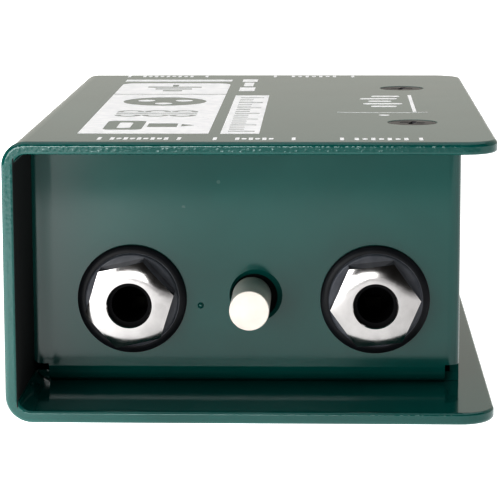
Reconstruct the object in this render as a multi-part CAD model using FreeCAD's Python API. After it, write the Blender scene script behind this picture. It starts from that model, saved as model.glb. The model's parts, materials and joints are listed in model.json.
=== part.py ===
import FreeCAD, Part
import os
from math import cos, pi, radians, sin, sqrt

# Passive direct injection box. Millimetres, +X right, +Y away from the input end, +Z up.
# The origin is the centre of the footprint, on the plane that the pad stands on.

# Outer shell: one folded sheet with a top plate, a left wall and a bottom plate
SHELL_W = 84.0
SHELL_L = 127.0
SHELL_H = 48.6
SHELL_T = 2.15
SHELL_BEND_TOP = 4.2
SHELL_BEND_BOTTOM = 4.6
SHELL_CORNER_R = 6.0
SHELL_OUTER_EDGE_R = 0.8
SHELL_INNER_EDGE_R = 0.5

# Non-slip pad under the shell
PAD_T = 1.0
PAD_INSET = 5.0
PAD_CORNER_R = 4.0

# Inner chassis: one folded tray with a right wall
CHASSIS_T = 1.6
CHASSIS_RIGHT = 36.95
RECESS = 23.05
FIT_GAP = 0.05
CHASSIS_BEND_R = 3.0
CHASSIS_SIDE_R = 2.2
RELIEF = 3.4
PANEL_CORNER_R = 1.1
TOP_FLANGE_L = 72.0
TOP_FLANGE_W = 15.5
TOP_BEND_R = 0.8

# Flush screws that hold the shell to the chassis
SCREW_X = 28.4
TOP_SCREW_Y = 32.5
BOTTOM_SCREW_Y = 22.0
SINK_R = 4.6
SINK_DEPTH = 1.9
M4_R = 2.0
CLINCH_R = 3.9
CLINCH_H = 2.2
THREAD_GAP = 0.02

# Main board, its standoffs and screws
BOARD_T = 1.6
BOARD_Z = 7.6
BOARD_X = (-36.5, 34.9)
BOARD_HALF_Y = 37.0
BOARD_CORNER_R = 2.0
BOARD_SCREWS = [(-33.0, -9.0), (31.5, -9.0), (-33.0, 33.0), (31.5, 33.0)]
M3_R = 1.5
LEAD_HOLE_GAP = 0.1
LEAD_END_Z = 6.5

# Quarter-inch jacks on the front panel
JACK_XS = {"input": -21.9, "thru": 21.7}
JACK_TURNS = {"input": 12.5, "thru": 6.0}
JACK_Z = 18.6
JACK_BORE_R = 3.25
JACK_BUSH_R = 4.65
JACK_BUSH_OUT = 5.55
JACK_W = 16.0
JACK_L = 26.0
JACK_TOP = 9.0
JACK_WALL = 2.5
WASHER_R = 9.8
WASHER_T = 1.75
NUT_AF = 14.0
NUT_OUT = 7.3
NUT_MOUTH_R = 3.9
NUT_FACE_R = 4.2
NUT_DOME_MID_R = 6.2
NUT_DOME_R = 11.0

# Push switches, front and rear
SWITCH_Z = 19.05
PAD_SWITCH_X = -0.4
LIFT_SWITCH_X = -22.0
SWITCH_HOLE_R = 4.15
SWITCH_RIM_R = 4.75
SWITCH_DISH_SHIFT = 0.3
SWITCH_DISH_DEPTH = 0.7
SWITCH_HOLE_DX = 0.75
SWITCH_HOLE_DZ = 0.15
CAP_R = 3.5
CAP_OUT = 14.0
STEM_R = 1.98
TRAVEL = 3.0

# Male three-pin output connector on the rear panel
XLR_X = 10.0
XLR_Z = 27.5
XLR_BODY_R = 11.8
XLR_CAVITY_R = 8.1
XLR_FLANGE = (26.0, 31.0, 2.2)
XLR_SCREW_DX = 9.5
XLR_SCREW_DZ = 12.0
XLR_INSERT_BACK = 19.9
XLR_INSERT_FRONT = 12.85
XLR_BOSS = 0.8
XLR_PIN_R = 1.2
XLR_NECK_R = 0.95
XLR_PIN_BACK = 23.5
XLR_PIN_L = 22.0
XLR_PINS = [(-3.8, 1.6), (3.8, 1.6), (0.0, -3.6)]

# Audio transformer
CAN_CENTRE = (-2.0, 0.0)
CAN = (28.0, 24.0, 21.9)
CAN_T = 0.6
CORE = (22.0, 8.0, 18.0)
CORE_LEG = 3.5
CORE_CENTRE_LEG = 6.0

# Planes that several pieces share
SHELL_X = SHELL_W / 2
SHELL_Y = SHELL_L / 2
SHELL_Z0 = PAD_T
SHELL_Z1 = PAD_T + SHELL_H
CHASSIS_LEFT = -SHELL_X + SHELL_T + FIT_GAP
CHASSIS_Z0 = SHELL_Z0 + SHELL_T + FIT_GAP
CHASSIS_Z1 = SHELL_Z1 - SHELL_T - FIT_GAP
FLOOR_Z = CHASSIS_Z0 + CHASSIS_T
PANEL_Y = SHELL_Y - RECESS
PANEL_IN_Y = PANEL_Y - CHASSIS_T
BOARD_TOP = BOARD_Z + BOARD_T

V = FreeCAD.Vector
X_AXIS = V(1, 0, 0)
Y_AXIS = V(0, 1, 0)
Z_AXIS = V(0, 0, 1)
board_leads = []


def box(x0, x1, y0, y1, z0, z1):
    return Part.makeBox(x1 - x0, y1 - y0, z1 - z0, V(x0, y0, z0))


def rod(r, start, end):
    """A round bar between two points."""
    way = end - start
    return Part.makeCylinder(r, way.Length, start, way)


def fuse(shapes):
    whole = shapes[0]
    for shape in shapes[1:]:
        whole = whole.fuse(shape)
    return whole.removeSplitter()


def cut(shape, tools):
    for tool in tools:
        shape = shape.cut(tool)
    return shape.removeSplitter()


def group(shapes):
    """Separate solids that share one node."""
    return Part.makeCompound(shapes)


def save(name, shape):
    if not shape.isValid():
        print("not valid:", name)
    shape.exportStep("parts/" + name + ".step")


def edges_where(shape, test):
    return [edge for edge in shape.Edges if test(edge)]


def along(edge, axis):
    """True for a straight edge that runs along an axis."""
    if edge.Curve.TypeId != "Part::GeomLine":
        return False
    way = edge.Vertexes[-1].Point - edge.Vertexes[0].Point
    return abs(way.normalize().dot(axis)) > 0.999


def polygon(points):
    return Part.Face(Part.makePolygon(points + [points[0]]))


def outline(profile):
    """A closed face in the XZ plane from (radius, height) pairs. An entry of two pairs is an arc
    through the first to the second."""
    start = V(profile[0][0], 0, profile[0][1])
    here = start
    edges = []
    for entry in profile[1:] + [profile[0]]:
        if isinstance(entry[0], tuple):
            middle, end = (V(r, 0, h) for r, h in entry)
            edges.append(Part.Arc(here, middle, end).toShape())
        else:
            end = V(entry[0], 0, entry[1])
            edges.append(Part.makeLine(here, end))
        here = end
    return Part.Face(Part.Wire(edges))


def turned(profile, origin, axis):
    """A solid of revolution. The profile's heights run along the axis from the origin."""
    solid = outline(profile).revolve(V(0, 0, 0), Z_AXIS, 360)
    solid.Placement = FreeCAD.Placement(origin, FreeCAD.Rotation(Z_AXIS, axis))
    return solid


def rounded_plate(x0, x1, y0, y1, z0, z1, r):
    plate = box(x0, x1, y0, y1, z0, z1)
    return plate.makeFillet(r, edges_where(plate, lambda e: along(e, Z_AXIS)))


def lead(x, y, r, top):
    """A wire leg that goes down through the board; its hole is drilled later."""
    board_leads.append((x, y, r))
    return rod(r, V(x, y, LEAD_END_Z), V(x, y, top))


def bent_wire(r, points, bend):
    """A round wire through the points, with a bend of the given radius at each corner."""
    edges = []
    start = points[0]
    for here, after in zip(points[1:], points[2:]):
        back = (start - here).normalize()
        on = (after - here).normalize()
        half = back.getAngle(on) / 2
        reach = bend * cos(half) / sin(half)
        middle_way = (back + on).normalize()
        middle = here + middle_way * (bend / sin(half) - bend)
        edges.append(Part.makeLine(start, here + back * reach))
        edges.append(Part.Arc(here + back * reach, middle, here + on * reach).toShape())
        start = here + on * reach
    edges.append(Part.makeLine(start, points[-1]))
    ring = Part.Wire(Part.makeCircle(r, points[0], points[1] - points[0]))
    return Part.Wire(edges).makePipeShell([ring], True, False)


# Shell, pad and chassis


def shell_block(inset):
    """The space inside the shell's outline, brought in by a distance at top, left and bottom."""
    z0 = SHELL_Z0 + inset
    z1 = SHELL_Z1 - inset
    block = box(-SHELL_X + inset, SHELL_X, -SHELL_Y, SHELL_Y, z0, z1)
    for radius, z in ((SHELL_BEND_TOP, z1), (SHELL_BEND_BOTTOM, z0)):
        block = block.makeFillet(radius - inset, edges_where(block, lambda e: left_edge_at(e, z)))
    return block


def left_edge_at(edge, z):
    middle = edge.BoundBox.Center
    return along(edge, Y_AXIS) and middle.x < 0 and abs(middle.z - z) < 0.01


def outer_shell():
    hollow = shell_block(SHELL_T)
    shell = shell_block(0).cut(hollow)
    shell = shell.makeFillet(SHELL_CORNER_R, edges_where(shell, free_corner))
    outer = edges_where(shell, lambda e: open_edge(e) and not touches(e, hollow))
    shell = shell.makeFillet(SHELL_OUTER_EDGE_R, outer)
    inner = edges_where(shell, lambda e: open_edge(e) and touches(e, hollow))
    shell = shell.makeFillet(SHELL_INNER_EDGE_R, inner)
    tools = []
    for y in (-TOP_SCREW_Y, TOP_SCREW_Y):
        tools.append(sink(V(SCREW_X, y, SHELL_Z1), V(0, 0, -1)))
    for y in (-BOTTOM_SCREW_Y, BOTTOM_SCREW_Y):
        tools.append(sink(V(SCREW_X, y, SHELL_Z0), V(0, 0, 1)))
    return cut(shell, tools)


def free_corner(edge):
    """The short upright edges at the right-hand corners of the two plates."""
    middle = edge.BoundBox.Center
    return along(edge, Z_AXIS) and middle.x > SHELL_X - 1


def open_edge(edge):
    """Every edge along the shell's rim, at the two ends and the open side."""
    bounds = edge.BoundBox
    at_end = abs(bounds.YMin) > SHELL_Y - SHELL_CORNER_R - 0.1 and bounds.YLength < SHELL_CORNER_R + 0.1
    at_side = bounds.XMin > SHELL_X - 0.1
    upright = along(edge, Z_AXIS) and bounds.XMin > 0
    return (at_end or at_side) and not upright


def touches(edge, solid):
    return edge.distToShape(solid)[0] < 0.01


def sink(at, way):
    """The countersunk hole for a flush screw."""
    floor_r = SINK_R - SINK_DEPTH
    profile = [(0, -1), (SINK_R + 1, -1), (floor_r, SINK_DEPTH), (floor_r, SHELL_T + 1), (0, SHELL_T + 1)]
    return turned(profile, at, way)


def flush_screw(at, way, length):
    """A countersunk M4 screw with a cross recess; way points along the shank."""
    rim_r = SINK_R - 0.25
    low = 0.22
    neck_r = rim_r - (SINK_DEPTH - low)
    top = FIT_GAP
    profile = [(0, top), (rim_r - 0.12, top), (rim_r, top + 0.1), (rim_r, low), (neck_r, SINK_DEPTH)]
    profile += [(M4_R, SINK_DEPTH), (M4_R, length - 0.5), (M4_R - 0.5, length), (0, length)]
    screw = turned(profile, at, way)
    return cut(screw, cross_recess(at, way, 4.8, 1.6))


def cross_recess(at, way, span, depth):
    """Two crossed slots that taper towards the bottom."""
    blades = []
    for angle in (0, 90):
        half = span / 2
        foot = span / 5
        blade = polygon([V(-half, 0, -0.1), V(half, 0, -0.1), V(foot, 0, depth), V(-foot, 0, depth)])
        blade = blade.extrude(V(0, span / 5.2, 0))
        blade.translate(V(0, -span / 10.4, 0))
        blade.rotate(V(0, 0, 0), Z_AXIS, angle + 12)
        blade.Placement = FreeCAD.Placement(at, FreeCAD.Rotation(Z_AXIS, way)).multiply(blade.Placement)
        blades.append(blade)
    return blades


def clinch_nut(at, way):
    """A press nut: a round body with a thread bore, its length along way."""
    profile = [(M4_R + THREAD_GAP, 0), (CLINCH_R, 0), (CLINCH_R, CLINCH_H - 0.4)]
    profile += [(CLINCH_R - 0.4, CLINCH_H), (M4_R + THREAD_GAP, CLINCH_H)]
    return turned(profile, at, way)


def shell_fastenings():
    down = V(0, 0, -1)
    top_screws = []
    bottom_screws = []
    nuts = []
    for y in (-TOP_SCREW_Y, TOP_SCREW_Y):
        top_screws.append(flush_screw(V(SCREW_X, y, SHELL_Z1), down, 8.0))
        nuts.append(clinch_nut(V(SCREW_X, y, CHASSIS_Z1 - CHASSIS_T), down))
    for y in (-BOTTOM_SCREW_Y, BOTTOM_SCREW_Y):
        bottom_screws.append(flush_screw(V(SCREW_X, y, SHELL_Z0), Z_AXIS, 6.0))
        nuts.append(clinch_nut(V(SCREW_X, y, FLOOR_Z), Z_AXIS))
    save("top_screws", group(top_screws))
    save("bottom_screws", group(bottom_screws))
    save("clinch_nuts", group(nuts))


def non_slip_pad():
    x = SHELL_X - PAD_INSET
    y = SHELL_Y - PAD_INSET
    pad = rounded_plate(-x, x, -y, y, 0, PAD_T, PAD_CORNER_R)
    holes = []
    for screw_y in (-BOTTOM_SCREW_Y, BOTTOM_SCREW_Y):
        holes.append(rod(SINK_R + 1.0, V(SCREW_X, screw_y, -1), V(SCREW_X, screw_y, PAD_T + 1)))
    return cut(pad, holes)


def tray_floor_and_panels():
    """Bottom, front panel and rear panel: a channel bent about X."""
    outer = box(CHASSIS_LEFT, CHASSIS_RIGHT, -PANEL_Y, PANEL_Y, CHASSIS_Z0, CHASSIS_Z1)
    inner = box(CHASSIS_LEFT, CHASSIS_RIGHT, -PANEL_IN_Y, PANEL_IN_Y, FLOOR_Z, CHASSIS_Z1)
    outer = outer.makeFillet(CHASSIS_BEND_R, edges_where(outer, lambda e: x_edge_at(e, CHASSIS_Z0)))
    inner_r = CHASSIS_BEND_R - CHASSIS_T
    inner = inner.makeFillet(inner_r, edges_where(inner, lambda e: x_edge_at(e, FLOOR_Z)))
    return outer.cut(inner)


def x_edge_at(edge, z):
    return along(edge, X_AXIS) and abs(edge.BoundBox.Center.z - z) < 0.01


def right_rounded(x0, x1, half_y, z0, z1, r):
    """A block whose two upright edges on the right are rounded."""
    block = box(x0, x1, -half_y, half_y, z0, z1)
    right = edges_where(block, lambda e: along(e, Z_AXIS) and e.BoundBox.XMin > x1 - 0.01)
    return block.makeFillet(r, right)


def side_walls():
    """Panels and right wall, bent about Z and open to the left."""
    z0 = CHASSIS_Z0 + RELIEF
    outer = right_rounded(CHASSIS_LEFT, CHASSIS_RIGHT, PANEL_Y, z0, CHASSIS_Z1, CHASSIS_SIDE_R)
    inner_x = CHASSIS_RIGHT - CHASSIS_T
    inner = right_rounded(CHASSIS_LEFT - 1, inner_x, PANEL_IN_Y, z0, CHASSIS_Z1, CHASSIS_SIDE_R - CHASSIS_T)
    skirt_y = PANEL_Y - RELIEF
    skirt = box(CHASSIS_RIGHT - CHASSIS_T, CHASSIS_RIGHT, -skirt_y, skirt_y, CHASSIS_Z0 + 0.2, z0 + 1)
    return fuse([outer.cut(inner), skirt])


def floor_trim():
    """Clears the floor's right edge so that the wall can drop past it."""
    x0 = CHASSIS_RIGHT - CHASSIS_T - 0.15
    y = PANEL_Y - RELIEF + 0.3
    return box(x0, CHASSIS_RIGHT + 1, -y, y, CHASSIS_Z0 - 1, FLOOR_Z + 1)


def top_flange():
    """The strip bent inwards from the right wall, which takes the top screws."""
    half = TOP_FLANGE_L / 2
    outer = box(CHASSIS_RIGHT - TOP_FLANGE_W, CHASSIS_RIGHT, -half, half, CHASSIS_Z1 - 8, CHASSIS_Z1)
    inner_x = CHASSIS_RIGHT - CHASSIS_T
    inner_z = CHASSIS_Z1 - CHASSIS_T
    inner = box(CHASSIS_RIGHT - TOP_FLANGE_W - 1, inner_x, -half, half, CHASSIS_Z1 - 9, inner_z)
    corner = V(inner_x, 0, inner_z)
    bend = edges_where(inner, lambda e: along(e, Y_AXIS) and corner.isEqual(e.BoundBox.Center, 0.01))
    return outer.cut(inner.makeFillet(TOP_BEND_R, bend))


def wall_top_cut():
    """Rounds the bend between the right wall and its top flange."""
    r = CHASSIS_T + TOP_BEND_R
    half = TOP_FLANGE_L / 2
    block = box(CHASSIS_RIGHT - r, CHASSIS_RIGHT + 1, -half, half, CHASSIS_Z1 - r, CHASSIS_Z1 + 1)
    core = Part.makeCylinder(r, TOP_FLANGE_L, V(CHASSIS_RIGHT - r, -half, CHASSIS_Z1 - r), Y_AXIS)
    return block.cut(core)


def corner_reliefs():
    """Notches at the ends of the floor bends, with the panels' left corners rounded above them."""
    size = CHASSIS_SIDE_R + 0.4
    top = CHASSIS_Z0 + RELIEF
    depth = CHASSIS_BEND_R + 1
    r = PANEL_CORNER_R
    notches = []
    for y in (-PANEL_Y - 1, PANEL_Y - CHASSIS_BEND_R):
        for x in (CHASSIS_LEFT - 1, CHASSIS_RIGHT - size):
            notches.append(box(x, x + size + 1, y, y + depth, CHASSIS_Z0 - 1, top))
        corner = box(CHASSIS_LEFT - 1, CHASSIS_LEFT + r, y, y + depth, top - 1, top + r)
        core = Part.makeCylinder(r, depth, V(CHASSIS_LEFT + r, y, top + r), Y_AXIS)
        notches.append(corner.cut(core))
    return notches


def panel_hole(x, z, r, side):
    """A round hole through the front (side -1) or rear (side 1) panel."""
    middle = side * (PANEL_Y - CHASSIS_T / 2)
    return rod(r, V(x, middle - CHASSIS_T, z), V(x, middle + CHASSIS_T, z))


def dished_hole(x, z, side):
    """A switch hole whose edge is pressed in, deeper at the top right than at the bottom left."""
    face = side * PANEL_Y
    inner_x = x - SWITCH_DISH_SHIFT
    inner_z = z - SWITCH_DISH_SHIFT
    bore = rod(SWITCH_HOLE_R, V(inner_x, face + side, inner_z), V(inner_x, face - side * 3, inner_z))
    rings = []
    places = [(x, z, SWITCH_RIM_R + 0.05, 0.1), (x, z, SWITCH_RIM_R, 0.0)]
    places.append((inner_x, inner_z, SWITCH_HOLE_R, -SWITCH_DISH_DEPTH))
    for ring_x, ring_z, r, out in places:
        rings.append(Part.Wire(Part.makeCircle(r, V(ring_x, face + side * out, ring_z), Y_AXIS)))
    dish = Part.makeLoft(rings, True, True)
    return bore.fuse(dish)


def xlr_screw_places():
    return [(XLR_X - XLR_SCREW_DX, XLR_Z + XLR_SCREW_DZ), (XLR_X + XLR_SCREW_DX, XLR_Z - XLR_SCREW_DZ)]


def inner_chassis():
    walls = side_walls()
    plan = right_rounded(CHASSIS_LEFT, CHASSIS_RIGHT, PANEL_Y, CHASSIS_Z0, CHASSIS_Z1, CHASSIS_SIDE_R)
    tray = tray_floor_and_panels().common(plan).cut(floor_trim())
    room = shell_block(SHELL_T + FIT_GAP)
    tools = [wall_top_cut()] + corner_reliefs()
    tools += [panel_hole(x, JACK_Z, JACK_BUSH_R + 0.2, -1) for x in JACK_XS.values()]
    tools.append(dished_hole(PAD_SWITCH_X + SWITCH_HOLE_DX, SWITCH_Z + SWITCH_HOLE_DZ, -1))
    tools.append(dished_hole(LIFT_SWITCH_X + SWITCH_DISH_SHIFT, SWITCH_Z + SWITCH_DISH_SHIFT, 1))
    tools.append(panel_hole(XLR_X, XLR_Z, XLR_BODY_R + 0.2, 1))
    tools += [panel_hole(x, z, M3_R + 0.1, 1) for x, z in xlr_screw_places()]
    for y in (-TOP_SCREW_Y, TOP_SCREW_Y):
        tools.append(rod(M4_R + 0.2, V(SCREW_X, y, CHASSIS_Z1 - 4), V(SCREW_X, y, CHASSIS_Z1 + 1)))
    for y in (-BOTTOM_SCREW_Y, BOTTOM_SCREW_Y):
        tools.append(rod(M4_R + 0.2, V(SCREW_X, y, 0), V(SCREW_X, y, FLOOR_Z + 1)))
    for x, y in BOARD_SCREWS:
        tools.append(rod(M3_R + 0.7, V(x, y, 0), V(x, y, FLOOR_Z + 1)))
    pip = Part.makeSphere(0.6, V(-9.6, -PANEL_Y + 0.2, PAD_T + 16.35))
    folded = fuse([tray, walls, top_flange()]).common(room)
    return fuse([cut(folded, tools), pip])


# Jacks


def jack_housing(x):
    """Moulded body with its threaded bushing, plug bore and contact chamber."""
    half = JACK_W / 2
    front = -PANEL_IN_Y + FIT_GAP
    rear = front + JACK_L
    body = box(x - half, x + half, front, rear, BOARD_TOP, JACK_Z + JACK_TOP)
    body = body.makeFillet(0.7, edges_where(body, lambda e: e.BoundBox.ZMin > BOARD_TOP + 0.1))
    bush_end = -PANEL_Y - JACK_BUSH_OUT
    bushing = rod(JACK_BUSH_R, V(x, front + 1, JACK_Z), V(x, bush_end, JACK_Z))
    chamber = box(x - 5.8, x + 5.8, front + JACK_WALL, rear - JACK_WALL, BOARD_TOP + 2.8, JACK_Z + 6.8)
    bore = rod(JACK_BORE_R, V(x, bush_end - 1, JACK_Z), V(x, front + JACK_WALL + 1, JACK_Z))
    slots = [box(x - 1.7, x + 1.7, y - 0.6, y + 0.6, BOARD_TOP - 1, BOARD_TOP + 4) for y in jack_legs()]
    vents = []
    for y in (front + 14, front + 19):
        vents.append(box(x - half - 1, x + half + 1, y, y + 3.0, JACK_Z - 2.5, JACK_Z + 3.5))
    return cut(fuse([body, bushing]), [chamber, bore] + slots + vents)


def jack_legs():
    """Places along Y of the sleeve contact's leg and the tip contact's leg."""
    front = -PANEL_IN_Y + FIT_GAP
    return (front + 4.4, front + 9.6)


def strip(x, width, thickness, points):
    """A bent metal strip: its middle line is given in Y and Z."""
    pieces = []
    for (y0, z0), (y1, z1) in zip(points, points[1:]):
        way = V(0, y1 - y0, z1 - z0)
        side = V(0, -way.z, way.y).normalize() * (thickness / 2)
        start = V(x - width / 2, y0, z0)
        corners = [start - side, start + way - side, start + way + side, start + side]
        pieces.append(polygon(corners).extrude(V(width, 0, 0)))
        knee = V(x - width / 2, y1, z1)
        pieces.append(Part.makeCylinder(thickness / 2, width, knee, X_AXIS))
    return fuse(pieces)


def jack_contacts(x):
    """Sleeve and tip leaf contacts, resting just clear of a plug."""
    sleeve_y, tip_y = jack_legs()
    low = BOARD_TOP + 0.4
    rub = JACK_Z - JACK_BORE_R - 0.3
    sleeve_path = [(sleeve_y, low), (sleeve_y, rub - 1.4)]
    sleeve_path += [(sleeve_y - 0.9, rub - 0.2), (sleeve_y - 1.2, rub - 1.0)]
    tip_path = [(tip_y, low), (tip_y, rub - 2.6), (tip_y + 9.0, rub), (tip_y + 11.0, rub - 1.6)]
    sleeve = strip(x, 3.0, 0.4, sleeve_path)
    tip = strip(x, 3.0, 0.4, tip_path)
    sleeve = sleeve.fuse(lead(x, sleeve_y, 0.5, low + 0.3)).removeSplitter()
    tip = tip.fuse(lead(x, tip_y, 0.5, low + 0.3)).removeSplitter()
    return sleeve, tip


def jack_washer(x):
    """Moulded washer behind the nut: a rounded flange with a raised seat."""
    inner = JACK_BUSH_R + 0.1
    seat_r = NUT_AF / sqrt(3) + 0.25
    profile = [(inner, 0), (WASHER_R - 0.2, 0), ((WASHER_R, 0.45), (WASHER_R - 0.35, 0.95))]
    profile += [((9.0, 1.15), (seat_r + 0.12, 1.2)), ((seat_r + 0.02, 1.3), (seat_r, 1.4))]
    profile += [((seat_r - 0.1, 1.65), (seat_r - 0.35, WASHER_T)), (inner, WASHER_T)]
    return turned(profile, V(x, -PANEL_Y, JACK_Z), V(0, -1, 0))


def jack_nut(x, turn):
    """Hexagon nut with a domed nose that closes over the end of the bushing."""
    corner = NUT_AF / sqrt(3)
    at = V(x, -PANEL_Y, JACK_Z)
    hexagon = []
    for k in range(6):
        angle = radians(turn + 60 * k)
        hexagon.append(V(x + corner * cos(angle), -PANEL_Y - WASHER_T, JACK_Z + corner * sin(angle)))
    prism = polygon(hexagon).extrude(V(0, WASHER_T - NUT_OUT, 0))
    dome = [(0, 0), (corner + 0.05, 0), (corner + 0.05, nut_height(corner + 0.05))]
    dome += [((NUT_DOME_MID_R, nut_height(NUT_DOME_MID_R)), (NUT_FACE_R, NUT_OUT)), (0, NUT_OUT)]
    nose = turned(dome, at, V(0, -1, 0))
    bore_r = JACK_BUSH_R + FIT_GAP
    bore_end = JACK_BUSH_OUT + FIT_GAP
    lip = NUT_MOUTH_R + 0.15
    bore = [(0, 0), (bore_r, 0), (bore_r, bore_end), (NUT_MOUTH_R, bore_end), (NUT_MOUTH_R, NUT_OUT - 0.15)]
    bore += [(lip, NUT_OUT), (lip, NUT_OUT + 1), (0, NUT_OUT + 1)]
    return cut(prism.common(nose), [turned(bore, at, V(0, -1, 0))])


def nut_height(r):
    """How far the nut's domed face stands out from the panel at a radius."""
    return NUT_OUT - NUT_DOME_R + sqrt(NUT_DOME_R ** 2 - (r - NUT_FACE_R) ** 2)


def jacks():
    for name, x in JACK_XS.items():
        save(name + "_jack_housing", jack_housing(x))
        sleeve, tip = jack_contacts(x)
        save(name + "_sleeve_contact", sleeve)
        save(name + "_tip_contact", tip)
        save(name + "_jack_washer", jack_washer(x))
        save(name + "_jack_nut", jack_nut(x, JACK_TURNS[name]))


# Push switches. Each is built on its own axis: Y runs inwards from the panel's outer face.

HOUSING_Y = (3.6, 25.6)
HOUSING_HALF_W = 6.0
HOUSING_FOOT = BOARD_TOP - SWITCH_Z
HOUSING_TOP = 6.15
CHAMBER_Y = (5.6, 22.6)
CHAMBER_HALF_W = 4.2
CHAMBER_Z = (-6.0, 4.6)
CARRIAGE_END = 15.5
TERMINALS = [(x, y) for x in (-2.0, 2.0) for y in (8.0, 12.0, 16.0)]


def switch_housing():
    body = box(-HOUSING_HALF_W, HOUSING_HALF_W, *HOUSING_Y, HOUSING_FOOT, HOUSING_TOP)
    body = body.makeFillet(0.5, edges_where(body, lambda e: e.BoundBox.ZMin > HOUSING_FOOT + 0.1))
    chamber = box(-CHAMBER_HALF_W, CHAMBER_HALF_W, *CHAMBER_Y, *CHAMBER_Z)
    guide = rod(STEM_R + 0.07, V(0, HOUSING_Y[0] - 1, 0), V(0, CHAMBER_Y[0] + 1, 0))
    legs = [rod(0.5, V(x, y, HOUSING_FOOT - 1), V(x, y, CHAMBER_Z[0] + 1)) for x, y in TERMINALS]
    return cut(body, [chamber, guide] + legs)


def switch_stem():
    """Shaft, carriage and spring guide in one moulding."""
    shaft = rod(STEM_R, V(0, -CAP_OUT + 6.5, 0), V(0, CHAMBER_Y[0] + 1, 0))
    carriage = box(-3.6, 3.6, CHAMBER_Y[0] + FIT_GAP, CARRIAGE_END, -4.4, 4.0)
    carriage = carriage.makeFillet(0.3, edges_where(carriage, lambda e: along(e, Y_AXIS)))
    guide = rod(1.2, V(0, CARRIAGE_END - 1, 0), V(0, CHAMBER_Y[1] - TRAVEL - 0.3, 0))
    return fuse([shaft, carriage, guide])


def switch_cap():
    """Long round button with a socket that takes the stem."""
    inner_end = HOUSING_Y[0] - TRAVEL - 0.2
    cap = rod(CAP_R, V(0, -CAP_OUT, 0), V(0, inner_end, 0))
    cap = cap.makeFillet(0.2, edges_where(cap, lambda e: e.BoundBox.YLength < 0.01))
    socket = rod(STEM_R + 0.02, V(0, -CAP_OUT + 6.45, 0), V(0, inner_end + 1, 0))
    return cut(cap, [socket])


def switch_spring():
    """Return spring between the carriage and the end of the chamber."""
    wire_r = 0.22
    coil_r = 1.8
    length = CHAMBER_Y[1] - CARRIAGE_END - 2 * wire_r - 0.1
    helix = Part.makeHelix(length / 6, length, coil_r)
    ring = Part.Wire(Part.makeCircle(wire_r, V(coil_r, 0, 0), Y_AXIS))
    spring = Part.Wire(helix.Edges).makePipeShell([ring], True, True)
    spring.rotate(V(0, 0, 0), X_AXIS, -90)
    spring.translate(V(0, CARRIAGE_END + wire_r + 0.05, 0))
    return spring


def switch_bridges():
    """Two contact clips carried under the carriage."""
    clips = []
    for x in (-2.0, 2.0):
        plate = box(x - 0.6, x + 0.6, 7.4, 13.0, -4.8, -4.4)
        bumps = [Part.makeCylinder(0.35, 1.2, V(x - 0.6, y, -4.8), X_AXIS) for y in (8.2, 12.2)]
        clips.append(fuse([plate] + bumps))
    return group(clips)


def switch_terminals():
    legs = []
    for x, y in TERMINALS:
        leg = rod(0.4, V(x, y, LEAD_END_Z - SWITCH_Z), V(x, y, CHAMBER_Z[0] + 0.2))
        head = box(x - 0.7, x + 0.7, y - 0.9, y + 0.9, CHAMBER_Z[0], CHAMBER_Z[0] + 0.6)
        legs.append(fuse([leg, head]))
    return group(legs)


def place_switch(shape, x, side):
    """Puts a switch piece on the front (side -1) or rear (side 1) panel."""
    placed = shape.copy()
    if side > 0:
        placed.rotate(V(0, 0, 0), Z_AXIS, 180)
    placed.translate(V(x, side * PANEL_Y, SWITCH_Z))
    return placed


def switches():
    pieces = {
        "housing": switch_housing(),
        "stem": switch_stem(),
        "cap": switch_cap(),
        "spring": switch_spring(),
        "bridges": switch_bridges(),
        "terminals": switch_terminals(),
    }
    for name, x, side in (("pad_switch", PAD_SWITCH_X, -1), ("lift_switch", LIFT_SWITCH_X, 1)):
        for piece, shape in pieces.items():
            save(name + "_" + piece, place_switch(shape, x, side))
        for leg_x, leg_y in TERMINALS:
            board_leads.append((x - side * leg_x, side * (PANEL_Y - leg_y), 0.4))


# Output connector


def xlr_shell():
    """Flange, barrel and raised mouth, with the keying rib in the cavity."""
    width, height, thick = XLR_FLANGE
    left = XLR_X - width / 2
    low = XLR_Z - height / 2
    flange = box(left, left + width, PANEL_Y, PANEL_Y + thick, low, low + height)
    flange = flange.makeFillet(2.6, edges_where(flange, lambda e: along(e, Y_AXIS)))
    outer_face = PANEL_Y + thick
    rim = edges_where(flange, lambda e: e.BoundBox.YMin > outer_face - 0.01)
    flange = flange.makeFillet(0.5, rim)
    barrel = rod(XLR_BODY_R, V(XLR_X, PANEL_Y - 20, XLR_Z), V(XLR_X, PANEL_Y + 1, XLR_Z))
    lip = [(0, 0), (10.6, 0), (10.6, 0.5), (10.2, 0.9), (0, 0.9)]
    mouth = turned(lip, V(XLR_X, outer_face, XLR_Z), Y_AXIS)
    cavity = rod(XLR_CAVITY_R, V(XLR_X, PANEL_Y - 21, XLR_Z), V(XLR_X, PANEL_Y + 5, XLR_Z))
    holes = [rod(M3_R + 0.1, V(x, PANEL_Y - 1, z), V(x, PANEL_Y + 5, z)) for x, z in xlr_screw_places()]
    rib_back = PANEL_Y - XLR_INSERT_FRONT + FIT_GAP
    rib = box(XLR_X - 0.9, XLR_X + 0.9, rib_back, PANEL_Y + 1.5, XLR_Z + 7.2, XLR_Z + 8.6)
    return fuse([cut(fuse([flange, barrel, mouth]), [cavity] + holes), rib])


def xlr_insert():
    """Moulded disc that holds the three pins."""
    back = PANEL_Y - XLR_INSERT_BACK
    front = PANEL_Y - XLR_INSERT_FRONT
    disc = rod(XLR_CAVITY_R - FIT_GAP, V(XLR_X, back, XLR_Z), V(XLR_X, front, XLR_Z))
    bosses = []
    holes = []
    for dx, dz in XLR_PINS:
        x = XLR_X + dx
        z = XLR_Z + dz
        bosses.append(rod(2.0, V(x, front - 1, z), V(x, front + XLR_BOSS, z)))
        holes.append(rod(XLR_NECK_R + 0.02, V(x, back - 1, z), V(x, front + 2, z)))
    return cut(fuse([disc] + bosses), holes)


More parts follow.
